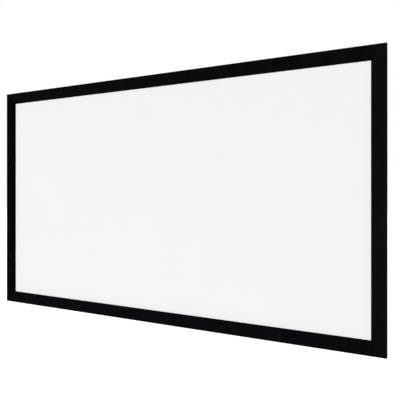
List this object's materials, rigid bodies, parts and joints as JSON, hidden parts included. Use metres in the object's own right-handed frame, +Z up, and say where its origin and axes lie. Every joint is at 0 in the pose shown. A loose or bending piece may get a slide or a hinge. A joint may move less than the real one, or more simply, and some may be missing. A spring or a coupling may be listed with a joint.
{
  "type": "fixed frame projector screen",
  "caption": "Wall hung projector screen: a flat matt white sheet sprung taut inside a wide black velvet covered aluminium frame with mitred corners.",
  "frame": {"origin": "middle of the whole screen's box, wall brackets included", "axes": "+X to the right as the audience sees it, +Y from the audience towards the wall, +Z up"},
  "size_m": [2.817, 0.044, 1.654],
  "materials": {
    "black_velvet": "matte",
    "rail_aluminium": "satin",
    "screen_fabric": "matte",
    "fibreglass_rod": "satin",
    "spring_steel": "satin",
    "zinc_steel": "satin",
    "support_aluminium": "satin"
  },
  "bodies": {
    "root": {"rail_top_left": "rail_aluminium", "rail_top_right": "rail_aluminium", "rail_bottom_left": "rail_aluminium", "rail_bottom_right": "rail_aluminium", "rail_left": "rail_aluminium", "rail_right": "rail_aluminium", "velvet_top_left": "black_velvet", "velvet_top_right": "black_velvet", "velvet_bottom_left": "black_velvet", "velvet_bottom_right": "black_velvet", "velvet_left": "black_velvet", "velvet_right": "black_velvet", "tension_rod_top_left": "fibreglass_rod", "tension_rod_top_right": "fibreglass_rod", "tension_rod_bottom_left": "fibreglass_rod", "tension_rod_bottom_right": "fibreglass_rod", "tension_rod_left": "fibreglass_rod", "tension_rod_right": "fibreglass_rod", "corner_bracket_top_left": "zinc_steel", "corner_bracket_top_right": "zinc_steel", "corner_bracket_bottom_left": "zinc_steel", "corner_bracket_bottom_right": "zinc_steel", "splice_bar_top": "zinc_steel", "support_clip_top": "zinc_steel", "splice_bar_bottom": "zinc_steel", "support_clip_bottom": "zinc_steel", "wall_bracket_top_left": "zinc_steel", "wall_bracket_top_right": "zinc_steel", "wall_bracket_bottom_left": "zinc_steel", "wall_bracket_bottom_right": "zinc_steel", "spring_top_1": "spring_steel", "spring_top_2": "spring_steel", "spring_top_3": "spring_steel", "spring_top_4": "spring_steel", "spring_top_5": "spring_steel", "spring_top_6": "spring_steel", "spring_top_7": "spring_steel", "spring_top_8": "spring_steel", "spring_bottom_1": "spring_steel", "spring_bottom_2": "spring_steel", "spring_bottom_3": "spring_steel", "spring_bottom_4": "spring_steel", "spring_bottom_5": "spring_steel", "spring_bottom_6": "spring_steel", "spring_bottom_7": "spring_steel", "spring_bottom_8": "spring_steel", "spring_left_1": "spring_steel", "spring_left_2": "spring_steel", "spring_left_3": "spring_steel", "spring_left_4": "spring_steel", "spring_left_5": "spring_steel", "spring_left_6": "spring_steel", "spring_right_1": "spring_steel", "spring_right_2": "spring_steel", "spring_right_3": "spring_steel", "spring_right_4": "spring_steel", "spring_right_5": "spring_steel", "spring_right_6": "spring_steel", "screen_sheet": "screen_fabric", "support_bar": "support_aluminium"}
  },
  "joints": []
}
